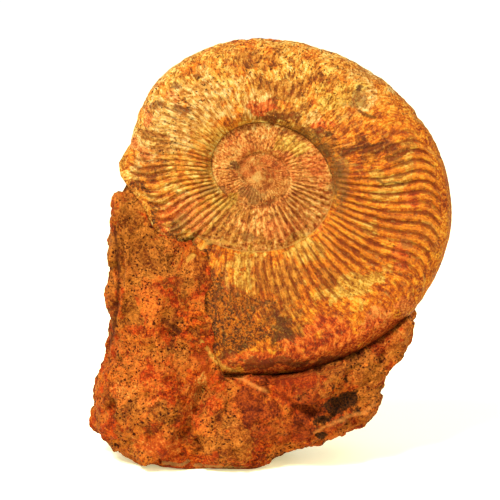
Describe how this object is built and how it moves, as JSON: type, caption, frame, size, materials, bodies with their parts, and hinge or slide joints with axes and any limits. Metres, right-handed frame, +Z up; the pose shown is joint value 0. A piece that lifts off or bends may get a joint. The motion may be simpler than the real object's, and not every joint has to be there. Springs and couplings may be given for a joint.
{
  "type": "fossil ammonite in host rock",
  "caption": "Flat-coiled ribbed fossil ammonite shell standing upright in the block of rusty host rock that clasps its lower half.",
  "frame": {"origin": "on the table, under the middle of the specimen", "axes": "+Z up, +X to the right as seen from the shell's best side, +Y away from that side"},
  "size_m": [0.1629, 0.0621, 0.1904],
  "materials": {
    "fossil_shell": "yellow-tan to orange ribbed fossil shell, rust-red patches, dark pits, matt to faintly waxy",
    "host_rock": "orange-red iron-rich oolitic limestone, olive-brown zones, tiny dark grain pits, matt"
  },
  "bodies": {
    "root": {"ammonite": "fossil_shell", "matrix_rock": "host_rock"}
  },
  "joints": []
}
